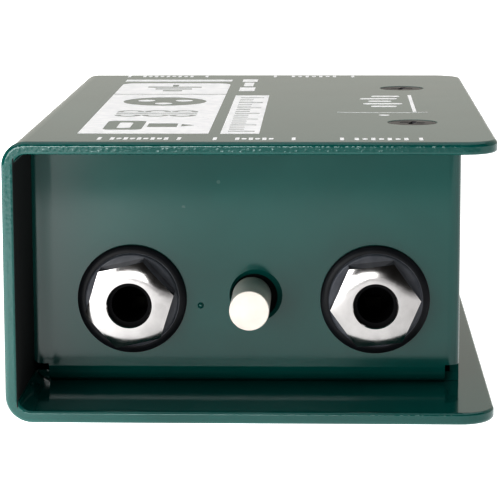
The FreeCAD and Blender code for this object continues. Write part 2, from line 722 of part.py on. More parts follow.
def xlr_pin(x, z):
    """Contact pin with a rounded tip, a neck held by the insert, and a solder cup."""
    r = XLR_PIN_R
    inner = PANEL_Y - XLR_PIN_BACK
    neck = XLR_PIN_BACK - XLR_INSERT_BACK
    front = XLR_PIN_BACK - XLR_INSERT_FRONT + XLR_BOSS
    profile = [(0, 0), (r, 0), (r, neck), (XLR_NECK_R, neck), (XLR_NECK_R, front), (r, front)]
    profile += [(r, XLR_PIN_L - 0.9), ((r - 0.25, XLR_PIN_L - 0.25), (r - 0.9, XLR_PIN_L)), (0, XLR_PIN_L)]
    pin = turned(profile, V(XLR_X + x, inner, XLR_Z + z), Y_AXIS)
    cup = rod(r - 0.35, V(XLR_X + x, inner - 1, XLR_Z + z), V(XLR_X + x, inner + 2.2, XLR_Z + z))
    return cut(pin, [cup])


def pan_screw(at, way, length):
    """M3 screw with a rounded head; way points along the shank."""
    head = [(0, -2.0), (1.2, -1.95), (2.1, -1.6), (2.6, -1.0), (2.7, 0)]
    profile = head + [(M3_R, 0), (M3_R, length - 0.3), (M3_R - 0.3, length), (0, length)]
    screw = turned(profile, at, way)
    return cut(screw, cross_recess(at - way * 2.0, way, 3.2, 1.3))


def hex_nut(at, way, af, height):
    corner = af / sqrt(3)
    points = [V(corner * cos(k * pi / 3), corner * sin(k * pi / 3), 0) for k in range(6)]
    nut = polygon(points).extrude(V(0, 0, height))
    nut = nut.cut(rod(M3_R + THREAD_GAP, V(0, 0, -1), V(0, 0, height + 1)))
    nut.Placement = FreeCAD.Placement(at, FreeCAD.Rotation(Z_AXIS, way))
    return nut


TAG_T = 0.5


def earth_tag():
    """Solder tag clamped under the lower connector nut."""
    x, z = xlr_screw_places()[1]
    y = PANEL_IN_Y
    ring = rod(3.2, V(x, y - TAG_T, z), V(x, y, z))
    tail = box(x - 1.2, x + 1.2, y - TAG_T, y, z - 5.2, z)
    return cut(fuse([ring, tail]), [rod(M3_R + 0.1, V(x, y - 2, z), V(x, y + 1, z))])


def earth_lead():
    x, z = xlr_screw_places()[1]
    y = PANEL_IN_Y - TAG_T
    path = [V(x, y, z - 4.2), V(x, y - 4.0, z - 4.2), V(x, y - 4.0, BOARD_TOP)]
    wire = bent_wire(0.6, path, 1.3)
    return wire.fuse(lead(x, y - 4.0, 0.3, BOARD_TOP + 0.2)).removeSplitter()


def output_leads():
    """Three insulated wires from the solder cups down to the board."""
    wires = []
    for x, z in XLR_PINS:
        start = V(XLR_X + x, PANEL_Y - XLR_PIN_BACK, XLR_Z + z)
        down_y = start.y - 2.8
        path = [start, V(start.x, down_y, start.z), V(start.x, down_y, BOARD_TOP)]
        wire = bent_wire(0.65, path, 1.9)
        tail = lead(start.x, down_y, 0.3, BOARD_TOP + 0.2)
        end = rod(0.5, start, start + V(0, 1.8, 0))
        wires.append(fuse([wire, tail, end]))
    return group(wires)


def output_connector():
    save("output_shell", xlr_shell())
    save("output_insert", xlr_insert())
    save("output_pins", group([xlr_pin(x, z) for x, z in XLR_PINS]))
    screws = []
    nuts = []
    for k, (x, z) in enumerate(xlr_screw_places()):
        screws.append(pan_screw(V(x, PANEL_Y + XLR_FLANGE[2], z), V(0, -1, 0), 8.0))
        nuts.append(hex_nut(V(x, PANEL_IN_Y - TAG_T * k, z), V(0, -1, 0), 5.5, 2.4))
    save("output_screws", group(screws))
    save("output_nuts", group(nuts))
    save("earth_tag", earth_tag())
    save("earth_lead", earth_lead())
    save("output_leads", output_leads())


# Transformer


def centred(width, depth, z0, z1):
    """A box centred on the transformer."""
    x, y = CAN_CENTRE
    return box(x - width / 2, x + width / 2, y - depth / 2, y + depth / 2, z0, z1)


def round_uprights(shape, r):
    return shape.makeFillet(r, edges_where(shape, lambda e: along(e, Z_AXIS)))


def transformer_can():
    """Drawn shield, open underneath."""
    width, depth, height = CAN
    z0 = BOARD_TOP
    z1 = BOARD_TOP + height
    outer = round_uprights(centred(width, depth, z0, z1), 2.4)
    outer = outer.makeFillet(1.4, edges_where(outer, lambda e: e.BoundBox.ZMin > z1 - 0.01))
    inner = centred(width - 2 * CAN_T, depth - 2 * CAN_T, z0, z1 - CAN_T)
    return outer.cut(round_uprights(inner, 1.8))


BASE_T = 2.0
CORE_Z = BOARD_TOP + BASE_T + 0.1


def transformer_base():
    """Moulded header that carries the pins."""
    base = round_uprights(centred(25.0, 21.0, BOARD_TOP, BOARD_TOP + BASE_T), 1.0)
    holes = []
    for x, y in pin_places():
        holes.append(rod(0.42, V(x, y, BOARD_TOP - 1), V(x, y, BOARD_TOP + BASE_T + 1)))
    return cut(base, holes)


def pin_places():
    x, y = CAN_CENTRE
    return [(x + 5.0 * i, y + side * 8.6) for i in (-1.5, -0.5, 0.5, 1.5) for side in (-1, 1)]


def transformer_core():
    """Stacked E and I laminations round two windows."""
    width, depth, height = CORE
    core = centred(width, depth, CORE_Z, CORE_Z + height)
    window_w = (width - CORE_CENTRE_LEG) / 2 - CORE_LEG
    mid = (CORE_CENTRE_LEG + window_w) / 2
    windows = []
    for side in (-1, 1):
        window = centred(window_w, depth + 2, CORE_Z + CORE_LEG, CORE_Z + height - CORE_LEG)
        window.translate(V(side * mid, 0, 0))
        windows.append(window)
    return cut(core, windows)


def square_ring(inner, outer, z0, z1, r):
    """A rounded rectangular ring; inner and outer are (width, depth)."""
    ring = round_uprights(centred(*outer, z0, z1), r)
    return ring.cut(centred(*inner, z0 - 1, z1 + 1))


def transformer_bobbin():
    z0 = CORE_Z + CORE_LEG + 0.1
    z1 = CORE_Z + CORE[2] - CORE_LEG - 0.1
    hole = (CORE_CENTRE_LEG + 0.2, CORE[1] + 0.2)
    tube = square_ring(hole, (7.4, 9.4), z0, z1, 0.3)
    low = square_ring(hole, (14.6, 19.0), z0, z0 + 0.6, 0.8)
    high = square_ring(hole, (14.6, 19.0), z1 - 0.6, z1, 0.8)
    return fuse([tube, low, high])


def winding(inner, outer):
    z0 = CORE_Z + CORE_LEG + 0.8
    z1 = CORE_Z + CORE[2] - CORE_LEG - 0.8
    return square_ring(inner, outer, z0, z1, 1.4)


def transformer():
    save("transformer_can", transformer_can())
    save("transformer_base", transformer_base())
    save("transformer_core", transformer_core())
    save("transformer_bobbin", transformer_bobbin())
    save("transformer_primary", winding((7.5, 9.5), (10.6, 13.4)))
    save("transformer_secondary", winding((10.7, 13.5), (14.2, 18.2)))
    save("transformer_pins", group([lead(x, y, 0.4, BOARD_TOP + BASE_T + 0.05) for x, y in pin_places()]))


# Board and small components

RESISTOR_REACH = 5.0


def resistor(x, y):
    """Axial resistor lying along X, its two legs through the board."""
    z = BOARD_TOP + 1.5
    half = 3.2
    profile = [(0, -half), (1.0, -half), (1.2, -half + 0.4), (1.2, -half + 1.2), (1.0, -half + 1.5)]
    profile += [(r, -h) for r, h in reversed(profile)]
    body = turned(profile, V(x, y, z), X_AXIS)
    legs = []
    for side in (-1, 1):
        knee = V(x + side * RESISTOR_REACH, y, z)
        legs += [rod(0.3, V(x + side * 3.0, y, z), knee), Part.makeSphere(0.3, knee)]
        legs.append(lead(knee.x, knee.y, 0.3, z))
    return fuse([body] + legs)


def film_capacitor(x, y):
    """Box capacitor standing on the board."""
    body = box(x - 3.6, x + 3.6, y - 1.75, y + 1.75, BOARD_TOP + 0.3, BOARD_TOP + 8.0)
    body = body.makeFillet(0.3, body.Edges)
    legs = [lead(x + side * 2.5, y, 0.3, BOARD_TOP + 1) for side in (-1, 1)]
    return fuse([body] + legs)


def small_components():
    save("pad_resistors", group([resistor(-26.0, y) for y in (-4.5, -0.5, 3.5, 7.5)]))
    save("film_capacitors", group([film_capacitor(23.0, y) for y in (-4.0, 3.0)]))


def standoff(x, y):
    """Pressed into the chassis floor, threaded for the board screw."""
    bore = M3_R + THREAD_GAP
    shank = M3_R + 0.65
    low = CHASSIS_Z0 - FLOOR_Z + FIT_GAP
    high = BOARD_Z - FLOOR_Z
    profile = [(bore, low), (shank, low), (shank, 0), (2.75, 0), (2.75, high), (bore, high)]
    return turned(profile, V(x, y, FLOOR_Z), Z_AXIS)


def board():
    plate = rounded_plate(*BOARD_X, -BOARD_HALF_Y, BOARD_HALF_Y, BOARD_Z, BOARD_TOP, BOARD_CORNER_R)
    holes = [(x, y, M3_R + 0.1) for x, y in BOARD_SCREWS] + board_leads
    tools = [rod(r + LEAD_HOLE_GAP, V(x, y, BOARD_Z - 1), V(x, y, BOARD_TOP + 1)) for x, y, r in holes]
    save("main_board", cut(plate, [Part.makeCompound(tools)]))
    save("board_standoffs", group([standoff(x, y) for x, y in BOARD_SCREWS]))
    save("board_screws", group([pan_screw(V(x, y, BOARD_TOP), V(0, 0, -1), 4.5) for x, y in BOARD_SCREWS]))


os.makedirs("parts", exist_ok=True)
save("outer_shell", outer_shell())
save("non_slip_pad", non_slip_pad())
save("inner_chassis", inner_chassis())
shell_fastenings()
jacks()
switches()
output_connector()
transformer()
small_components()
board()
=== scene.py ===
import json
from math import cos, pi, radians, sin, tan

import bpy
from mathutils import Matrix, Vector


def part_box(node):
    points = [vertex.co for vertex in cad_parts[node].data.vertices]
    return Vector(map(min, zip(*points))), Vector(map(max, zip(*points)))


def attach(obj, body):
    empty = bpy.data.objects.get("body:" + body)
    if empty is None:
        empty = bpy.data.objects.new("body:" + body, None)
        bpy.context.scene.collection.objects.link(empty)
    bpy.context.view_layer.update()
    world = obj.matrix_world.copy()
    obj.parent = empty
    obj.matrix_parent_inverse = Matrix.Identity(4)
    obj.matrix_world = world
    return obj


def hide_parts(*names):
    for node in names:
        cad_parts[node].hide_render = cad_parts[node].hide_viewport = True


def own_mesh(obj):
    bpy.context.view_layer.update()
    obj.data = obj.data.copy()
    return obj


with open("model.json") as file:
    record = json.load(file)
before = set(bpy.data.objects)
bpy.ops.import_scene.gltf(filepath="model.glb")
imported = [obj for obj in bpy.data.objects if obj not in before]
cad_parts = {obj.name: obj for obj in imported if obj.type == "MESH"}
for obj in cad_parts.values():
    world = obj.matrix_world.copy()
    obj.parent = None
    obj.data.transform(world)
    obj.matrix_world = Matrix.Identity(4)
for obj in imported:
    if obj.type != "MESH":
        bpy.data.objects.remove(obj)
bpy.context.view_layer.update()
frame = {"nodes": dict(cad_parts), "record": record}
MM = 0.001
TOP_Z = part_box("outer_shell")[1].z
GREEN = (0.0012, 0.065, 0.056, 1.0)
# Near-black painted shade for the inner face of the left wall, which lies in shadow
PAINTED_SHADE_BLACK = (0.0012, 0.0012, 0.0013, 1.0)
DUST = (0.16, 0.2, 0.19, 1.0)


# Material nodes


def new_material(name):
    """An empty node material. Returns it with its node tree and its principled shader."""
    material = bpy.data.materials.new(name)
    material.use_nodes = True
    tree = material.node_tree
    shader = next(n for n in tree.nodes if n.type == "BSDF_PRINCIPLED")
    return material, tree, shader


def node(tree, kind, inputs=(), **settings):
    """Adds a node. Inputs are (socket, value or output socket) pairs."""
    made = tree.nodes.new("ShaderNode" + kind)
    for key, value in settings.items():
        setattr(made, key, value)
    for socket, value in inputs:
        if isinstance(value, bpy.types.NodeSocket):
            tree.links.new(value, made.inputs[socket])
        else:
            made.inputs[socket].default_value = value
    return made


def coords(tree):
    return node(tree, "TexCoord").outputs["Object"]


def noise(tree, size, detail=3.0, rough=0.5, at=None):
    """Noise whose features are about size metres across."""
    inputs = [("Vector", at or coords(tree)), ("Scale", 1 / size), ("Detail", detail), ("Roughness", rough)]
    return node(tree, "TexNoise", inputs).outputs["Fac"]


def between(tree, value, low, high, to_low=0.0, to_high=1.0):
    """Maps low..high smoothly onto to_low..to_high."""
    inputs = [("Value", value), ("From Min", low), ("From Max", high)]
    inputs += [("To Min", to_low), ("To Max", to_high)]
    return node(tree, "MapRange", inputs, interpolation_type="SMOOTHSTEP").outputs["Result"]


def mix(tree, share, first, second):
    made = node(tree, "Mix", data_type="RGBA")
    for socket, value in ((0, share), (6, first), (7, second)):
        if isinstance(value, bpy.types.NodeSocket):
            tree.links.new(value, made.inputs[socket])
        else:
            made.inputs[socket].default_value = value
    return made.outputs[2]


def blend(tree, share, first, second):
    """Mixes two numbers."""
    inputs = [(0, share), (2, first), (3, second)]
    return node(tree, "Mix", inputs, data_type="FLOAT").outputs[0]


def magnitude(tree, value):
    return node(tree, "Math", [(0, value)], operation="ABSOLUTE").outputs[0]


def times(tree, first, second, kind="MULTIPLY"):
    """Multiplies two numbers, or joins them by another kind of sum."""
    return node(tree, "Math", [(0, first), (1, second)], operation=kind).outputs[0]


def bump(tree, height, depth, normal=None):
    """Bump of a height field; depth is in metres."""
    inputs = [("Height", height), ("Strength", 1.0), ("Distance", depth)]
    if normal:
        inputs.append(("Normal", normal))
    return node(tree, "Bump", inputs).outputs["Normal"]


def grey(value):
    return (value, value, value, 1.0)


def shade(colour, factor):
    return tuple(min(1.0, c * factor) for c in colour[:3]) + (1.0,)


def specks(tree, size, share):
    """Small scattered dots: 1 on a dot and 0 elsewhere. share is how many cells have one."""
    cells = node(tree, "TexVoronoi", [("Vector", coords(tree)), ("Scale", 1 / size)])
    dot = between(tree, cells.outputs["Distance"], 0.12, 0.2, 1.0, 0.0)
    chosen = node(tree, "SeparateColor", [("Color", cells.outputs["Color"])]).outputs[0]
    return times(tree, dot, times(tree, chosen, share, "LESS_THAN"))


def painted_shade_inside_wall(tree, place):
    """1 on the inner face of the shell's left wall, which gets near-black painted shade because that face
    lies in shadow.
    """
    x = place.outputs["X"]
    z = place.outputs["Z"]
    face = times(tree, between(tree, x, -0.0401, -0.0399), between(tree, x, -0.03979, -0.03975, 1.0, 0.0))
    painted_shade = times(tree, face, between(tree, z, 0.0035, 0.0040))
    return times(tree, painted_shade, between(tree, z, 0.0466, 0.0471, 1.0, 0.0))


def lifted_edge(tree, place):
    """Rises towards the panels' left edges: a slight lift, guessed from the photo's reflections."""
    x = place.outputs["X"]
    z = place.outputs["Z"]
    rise = times(tree, between(tree, x, -0.0398, -0.0360, 1.0, 0.0), between(tree, x, -0.03995, -0.0399))
    within = times(tree, between(tree, z, 0.0035, 0.0045), between(tree, z, 0.0460, 0.0468, 1.0, 0.0))
    panels = between(tree, magnitude(tree, place.outputs["Y"]), 0.0406, 0.0410, 1.0, 0.0)
    return times(tree, times(tree, rise, within), panels)


def cut_edges(tree, place):
    """1 along the shell's open edges, at the two ends and the right-hand side."""
    at_end = between(tree, magnitude(tree, place.outputs["Y"]), 0.0624, 0.0632)
    at_side = between(tree, place.outputs["X"], 0.0409, 0.0417)
    return times(tree, at_end, at_side, "MAXIMUM")


def stripes(tree, scale, direction):
    inputs = [("Vector", coords(tree)), ("Scale", scale)]
    return node(tree, "TexWave", inputs, bands_direction=direction).outputs["Fac"]


PEEL_DEPTH = 0.0000008
LIFT_DEPTH = 0.00018
BEAD_SIZE = 0.00065
BEAD_DEPTH = 0.000035


def powder_coat():
    """Glossy deep green paint. It is smooth on the flats and gathers in small beads along cut edges."""
    material, tree, shader = new_material("green_powder_coat")
    at = coords(tree)
    cloud = between(tree, noise(tree, 0.02, 4.0), 0.3, 0.7)
    colour = mix(tree, cloud, shade(GREEN, 0.93), shade(GREEN, 1.07))
    dust = times(tree, specks(tree, 0.0021, 0.015), 0.2)
    painted = mix(tree, dust, colour, DUST)
    place = node(tree, "SeparateXYZ", [("Vector", at)])
    painted_shade = painted_shade_inside_wall(tree, place)
    # painted shade: the left wall's inner face is coloured near black and made matt, because it lies in
    # shadow
    tree.links.new(mix(tree, painted_shade, painted, PAINTED_SHADE_BLACK), shader.inputs["Base Color"])
    rubs = between(tree, noise(tree, 0.009, 5.0, 0.7), 0.6, 0.75, 0.0, 0.03)
    shine = between(tree, noise(tree, 0.013, 3.0), 0.3, 0.7, 0.085, 0.105)
    shine = times(tree, shine, times(tree, painted_shade, 0.8), "ADD")
    tree.links.new(times(tree, shine, rubs, "ADD"), shader.inputs["Roughness"])
    spots = [("Vector", at), ("Scale", 1 / BEAD_SIZE), ("Smoothness", 0.6)]
    cells = node(tree, "TexVoronoi", spots, feature="SMOOTH_F1")
    beads = times(tree, cells.outputs["Distance"], cut_edges(tree, place))
    lift = times(tree, lifted_edge(tree, place), LIFT_DEPTH / PEEL_DEPTH)
    peel = bump(tree, times(tree, noise(tree, 0.0022, 2.0), lift, "ADD"), PEEL_DEPTH)
    tree.links.new(bump(tree, beads, -BEAD_DEPTH, peel), shader.inputs["Normal"])
    shader.inputs["Specular IOR Level"].default_value = 0.5
    return material


def polished_metal(name, colour, roughness, wear):
    """Bright plated metal with fine hairlines and slightly duller patches."""
    material, tree, shader = new_material(name)
    patch = between(tree, noise(tree, 0.003, 4.0), 0.35, 0.7)
    tree.links.new(mix(tree, patch, colour, shade(colour, 0.9)), shader.inputs["Base Color"])
    lines = noise(tree, 0.00018, 2.0, 0.6)
    rough = times(tree, times(tree, patch, wear), times(tree, lines, wear), "ADD")
    tree.links.new(times(tree, rough, roughness, "ADD"), shader.inputs["Roughness"])
    tree.links.new(bump(tree, lines, 0.0000008), shader.inputs["Normal"])
    shader.inputs["Metallic"].default_value = 1.0
    return material


def plastic(name, colour, roughness, grain, depth, subsurface=0.0, gloss=0.5):
    """Moulded plastic: fine grain, faint flow clouds and a little handling dullness."""
    material, tree, shader = new_material(name)
    cloud = between(tree, noise(tree, 0.005, 4.0), 0.3, 0.7)
    tree.links.new(mix(tree, cloud, shade(colour, 0.92), shade(colour, 1.06)), shader.inputs["Base Color"])
    dull = between(tree, noise(tree, 0.0025, 3.0), 0.3, 0.7, roughness - 0.05, roughness + 0.06)
    tree.links.new(dull, shader.inputs["Roughness"])
    tree.links.new(bump(tree, noise(tree, grain, 2.0), depth), shader.inputs["Normal"])
    shader.inputs["Specular IOR Level"].default_value = gloss
    shader.inputs["Subsurface Weight"].default_value = subsurface
    shader.inputs["Subsurface Radius"].default_value = (0.0012, 0.0010, 0.0007)
    return material


JACK_X = 21.8 * MM
JACK_Z = 18.6 * MM


def washer():
    """Satin black moulding. The raised seat is smoother and carries a painted grey-blue highlight."""
    material, tree, shader = new_material("washer")
    place = node(tree, "SeparateXYZ", [("Vector", coords(tree))])
    across = times(tree, magnitude(tree, place.outputs["X"]), JACK_X, "SUBTRACT")
    up = times(tree, place.outputs["Z"], JACK_Z, "SUBTRACT")
    squared = times(tree, times(tree, across, 2.0, "POWER"), times(tree, up, 2.0, "POWER"), "ADD")
    radius = times(tree, squared, 0.5, "POWER")
    seat = between(tree, radius, 8.4 * MM, 8.55 * MM, 1.0, 0.0)
    cloud = between(tree, noise(tree, 0.003, 4.0), 0.3, 0.7)
    body = mix(tree, cloud, (0.005, 0.006, 0.008, 1), (0.008, 0.009, 0.012, 1))
    painted_seat_sheen = mix(tree, cloud, (0.075, 0.08, 0.095, 1), (0.11, 0.115, 0.13, 1))
    # painted highlight: the seat ring is coloured grey-blue for the sheen it shows
    tree.links.new(mix(tree, seat, body, painted_seat_sheen), shader.inputs["Base Color"])
    tree.links.new(between(tree, seat, 0.0, 1.0, 0.42, 0.22), shader.inputs["Roughness"])
    tree.links.new(bump(tree, noise(tree, 0.0005, 2.0), 0.000006), shader.inputs["Normal"])
    shader.inputs["Specular IOR Level"].default_value = 0.2
    return material


def rubber():
    """Matt rubber with a fine cross-hatched non-slip texture."""
    material, tree, shader = new_material("black_rubber")
    grid = times(tree, stripes(tree, 320.0, "X"), stripes(tree, 320.0, "Y"))
    dust = between(tree, noise(tree, 0.004, 5.0), 0.45, 0.8)
    colour = mix(tree, dust, (0.012, 0.012, 0.013, 1), (0.035, 0.034, 0.033, 1))
    tree.links.new(colour, shader.inputs["Base Color"])
    tree.links.new(between(tree, dust, 0.0, 1.0, 0.72, 0.9), shader.inputs["Roughness"])
    ribs = bump(tree, grid, 0.00015)
    tree.links.new(bump(tree, noise(tree, 0.0004, 2.0), 0.00001, ribs), shader.inputs["Normal"])
    return material


def ink():
    """Screen-printed white ink: slightly uneven, with tiny pinholes."""
    material, tree, shader = new_material("white_ink")
    cloud = between(tree, noise(tree, 0.002, 4.0), 0.35, 0.7)
    colour = mix(tree, cloud, (0.86, 0.87, 0.88, 1), (0.95, 0.95, 0.95, 1))
    pinholes = times(tree, specks(tree, 0.0011, 0.06), 0.5)
    tree.links.new(mix(tree, pinholes, colour, (0.3, 0.36, 0.35, 1)), shader.inputs["Base Color"])
    tree.links.new(between(tree, cloud, 0.0, 1.0, 0.42, 0.55), shader.inputs["Roughness"])
    tree.links.new(bump(tree, noise(tree, 0.0005, 2.0), 0.000006), shader.inputs["Normal"])
    return material


def laminations():
    """Stacked sheets seen on edge, with varnish and rust tints."""
    material, tree, shader = new_material("lamination")
    stack = stripes(tree, 900.0, "Y")
    tint = between(tree, noise(tree, 0.002, 4.0), 0.4, 0.7)
    colour = mix(tree, stack, (0.09, 0.085, 0.08, 1), (0.3, 0.29, 0.28, 1))
    rusty = mix(tree, times(tree, tint, 0.4), colour, (0.16, 0.08, 0.04, 1))
    tree.links.new(rusty, shader.inputs["Base Color"])
    tree.links.new(between(tree, tint, 0.0, 1.0, 0.35, 0.6), shader.inputs["Roughness"])
    tree.links.new(bump(tree, stack, 0.00003), shader.inputs["Normal"])
    shader.inputs["Metallic"].default_value = 0.8
    return material


def copper_winding():
    """Enamelled copper turns side by side."""
    material, tree, shader = new_material("winding")
    turns = stripes(tree, 1100.0, "Z")
    cloud = between(tree, noise(tree, 0.002, 3.0), 0.3, 0.7)
    colour = mix(tree, cloud, (0.45, 0.13, 0.04, 1), (0.62, 0.22, 0.07, 1))
    tree.links.new(mix(tree, turns, shade((0.3, 0.08, 0.02), 1), colour), shader.inputs["Base Color"])
    tree.links.new(between(tree, turns, 0.0, 1.0, 0.5, 0.28), shader.inputs["Roughness"])
    tree.links.new(bump(tree, turns, 0.00004), shader.inputs["Normal"])
    shader.inputs["Metallic"].default_value = 0.7
    shader.inputs["Coat Weight"].default_value = 0.4
    return material


def circuit_board():
    """Green solder mask over a weave of copper tracks."""
    material, tree, shader = new_material("board_green")
    blocks = [("Vector", coords(tree)), ("Scale", 180.0), ("Mortar Size", 0.05), ("Mortar Smooth", 0.1)]
    tracks = node(tree, "TexBrick", blocks).outputs["Fac"]
    cloud = between(tree, noise(tree, 0.004, 3.0), 0.3, 0.7)
    mask = mix(tree, cloud, (0.006, 0.075, 0.028, 1), (0.010, 0.10, 0.038, 1))
    tree.links.new(mix(tree, tracks, mask, (0.03, 0.19, 0.07, 1)), shader.inputs["Base Color"])
    tree.links.new(between(tree, cloud, 0.0, 1.0, 0.25, 0.38), shader.inputs["Roughness"])
    tree.links.new(bump(tree, tracks, 0.00003), shader.inputs["Normal"])
    return material


def paint_nodes():
    """Gives every CAD node the material of its slot."""
    steel = (0.58, 0.58, 0.57, 1)
    slots = {
        "green_powder_coat": powder_coat(),
        "black_rubber": rubber(),
        "black_screw": polished_metal("black_screw", (0.055, 0.052, 0.056, 1), 0.24, 0.14),
        "zinc_steel": polished_metal("zinc_steel", steel, 0.2, 0.2),
        "polished_nut": polished_metal("polished_nut", (0.37, 0.362, 0.358, 1), 0.08, 0.06),
        "black_nylon": plastic("black_nylon", (0.004, 0.004, 0.005, 1), 0.6, 0.0005, 0.000008, gloss=0.1),
        "cream_cap": plastic("cream_cap", (0.60, 0.565, 0.52, 1), 0.42, 0.0004, 0.000006, 0.12),
        "white_stem": plastic("white_stem", (0.8, 0.8, 0.78, 1), 0.45, 0.0004, 0.000006),
        "spring_steel": polished_metal("spring_steel", steel, 0.22, 0.1),
        "tinned_contact": polished_metal("tinned_contact", (0.72, 0.69, 0.62, 1), 0.22, 0.2),
        "output_shell_black": polished_metal("output_shell_black", (0.045, 0.045, 0.05, 1), 0.26, 0.12),
        "silver_pin": polished_metal("silver_pin", (0.88, 0.86, 0.8, 1), 0.12, 0.1),
        "shield_can": polished_metal("shield_can", (0.5, 0.49, 0.47, 1), 0.34, 0.2),
        "lamination": laminations(),
        "bobbin": plastic("bobbin", (0.72, 0.68, 0.58, 1), 0.4, 0.0005, 0.000008),
        "winding": copper_winding(),
        "board_green": circuit_board(),
        "component": plastic("component", (0.5, 0.36, 0.2, 1), 0.35, 0.0006, 0.00001),
        "wire_insulation": plastic("wire_insulation", (0.5, 0.05, 0.04, 1), 0.38, 0.0006, 0.000008),
    }
    for part in frame["record"]["subparts"]:
        mesh = frame["nodes"][part["node"]].data
        mesh.materials.clear()
        mesh.materials.append(slots[part["material_slot"]])
    washer_finish = washer()
    for name in ("input_jack_washer", "thru_jack_washer"):
        frame["nodes"][name].data.materials[0] = washer_finish


def mesh_piece(name, curve, place, material):
    """Turns a curve into a mesh piece that rides on the enclosure."""
    shape = bpy.data.objects.new(name + "_outline", curve)
    shape.location = place
    bpy.context.scene.collection.objects.link(shape)
    bpy.context.view_layer.update()
    mesh = bpy.data.meshes.new_from_object(shape.evaluated_get(bpy.context.evaluated_depsgraph_get()))
    mesh.transform(shape.matrix_world)
    bpy.data.objects.remove(shape)
    mesh.materials.clear()
    mesh.materials.append(material)
    piece = bpy.data.objects.new(name, mesh)
    bpy.context.scene.collection.objects.link(piece)
    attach(piece, "enclosure")
    return piece


# Return springs, coiled in the switch housings

SPRING_WIRE_R = 0.22 * MM
SPRING_TURNS = 6
STEPS_A_TURN = 24


def return_spring(switch, material):
    """A coil in the switch's housing, in place of the spring part, which it hides."""
    low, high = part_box(switch + "_spring")
    length = high.y - low.y
    coil_r = (high.x - low.x) / 2 - SPRING_WIRE_R
    middle = (low + high) / 2
    curve = bpy.data.curves.new(switch + "_coil", "CURVE")
    curve.dimensions = "3D"
    curve.bevel_depth = SPRING_WIRE_R
    curve.bevel_resolution = 3
    curve.use_fill_caps = True
    spline = curve.splines.new("POLY")
    steps = SPRING_TURNS * STEPS_A_TURN
    spline.points.add(steps)
    for i, point in enumerate(spline.points):
        turn = 2 * pi * i / STEPS_A_TURN
        along = (length - 2 * SPRING_WIRE_R) * (i / steps - 0.5)
        point.co = (coil_r * cos(turn), along, coil_r * sin(turn), 1.0)
    piece = mesh_piece(switch + "_coil", curve, middle, material)
    piece.data.shade_smooth()
    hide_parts(switch + "_spring")
    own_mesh(piece)


# Printed graphics on the top plate: a generic signal diagram, with no lettering

PRINT_LIFT = 0.012 * MM
PRINT_T = 0.02 * MM


def rectangle(x0, x1, y0, y1):
    return [(x0, y0), (x1, y0), (x1, y1), (x0, y1)]


def arc(x, y, r, start, end, steps=12):
    """Points along a circle, with angles in degrees."""
    turns = [radians(start + (end - start) * i / steps) for i in range(steps + 1)]
    return [(x + r * cos(t), y + r * sin(t)) for t in turns]


def disc(x, y, r):
    return arc(x, y, r, 0, 345, 23)


def rounded(x0, x1, y0, y1, r):
    points = arc(x1 - r, y1 - r, r, 0, 90, 6) + arc(x0 + r, y1 - r, r, 90, 180, 6)
    return points + arc(x0 + r, y0 + r, r, 180, 270, 6) + arc(x1 - r, y0 + r, r, 270, 360, 6)


def band(x, y, r, width, start, end):
    """A strip that follows an arc."""
    outer = arc(x, y, r + width / 2, start, end)
    inner = arc(x, y, r - width / 2, start, end)
    return outer + inner[::-1]


def printed(name, outlines, material):
    """A thin layer of ink. An outline inside another is a hole, and one inside that is ink again."""
    curve = bpy.data.curves.new(name, "CURVE")
    curve.dimensions = "2D"
    curve.fill_mode = "BOTH"
    curve.extrude = PRINT_T / 2
    for outline in outlines:
        spline = curve.splines.new("POLY")
        spline.points.add(len(outline) - 1)
        spline.use_cyclic_u = True
        for point, (x, y) in zip(spline.points, outline):
            point.co = (x * MM, y * MM, 0.0, 1.0)
    return mesh_piece(name, curve, (0.0, 0.0, TOP_Z + PRINT_LIFT), material)


BLOCK_X = (-30.3, -7.5)


def diagram_block():
    """Plug, transformer and three-pin socket, knocked out of a white block."""
    x0, x1 = BLOCK_X
    mid = (x0 + x1) / 2
    outlines = [rectangle(x0, x1, -50.9, 18.7)]
    outlines.append(rounded(x0 + 3.7, x0 + 10.6, -45.0, -30.4, 1.5))
    outlines.append(rounded(x0 + 6.0, x0 + 8.4, -42.0, -33.4, 0.6))
    outlines.append(rectangle(x0 + 11.3, x0 + 16.6, -40.6, -34.8))
    outlines.append([(x0 + 17.3, -39.6), (x0 + 19.8, -37.7), (x0 + 17.3, -35.8)])
    for side in (-1, 1):
        turned = 90 * side
        for k in (-1, 0, 1):
            winding = band(mid + 5.1 * k, -17.8 + side * 2.9, 2.0, 1.2, 90 - turned, 270 - turned)
            outlines.append(winding)
        core = -17.8 + side * 0.9
        outlines.append(rectangle(mid - 7.6, mid + 7.6, core - 0.45, core + 0.45))
    outlines.append(disc(mid, 4.6, 8.2))
    outlines += [disc(mid + x, 4.6 + y, 1.7) for x, y in ((-3.7, 1.6), (3.7, 1.6), (0.0, -3.9))]
    return outlines


def ground_block():
    """The block's rear part, with an earth symbol knocked out."""
    x0, x1 = BLOCK_X
    mid = (x0 + x1) / 2
    r = 3.4
    top = arc(x1 - r, 43.2 - r, r, 0, 90, 8) + arc(x0 + r, 43.2 - r, r, 90, 180, 8)
    outlines = [[(x0, 19.7), (x1, 19.7)] + top]
    for k, half in enumerate((2.0, 3.8, 5.6)):
        outlines.append(rectangle(mid - half, mid + half, 25.6 + 3.9 * k, 27.6 + 3.9 * k))
    outlines.append(rectangle(mid - 0.6, mid + 0.6, 35.4 + 0.4, 39.6))
    return outlines


def scale_column():
    """A narrow white column with a graduated scale knocked out."""
    x0, x1 = -5.45, 1.3
    outlines = [rectangle(x0, x1, -51.0, 16.9)]
    for k in range(19):
        long = k % 3 == 0
        y = -47.6 + 3.3 * k
        outlines.append(rectangle(x0 + 1.2, x1 - (0.9 if long else 2.9), y, y + 1.0))
    return outlines


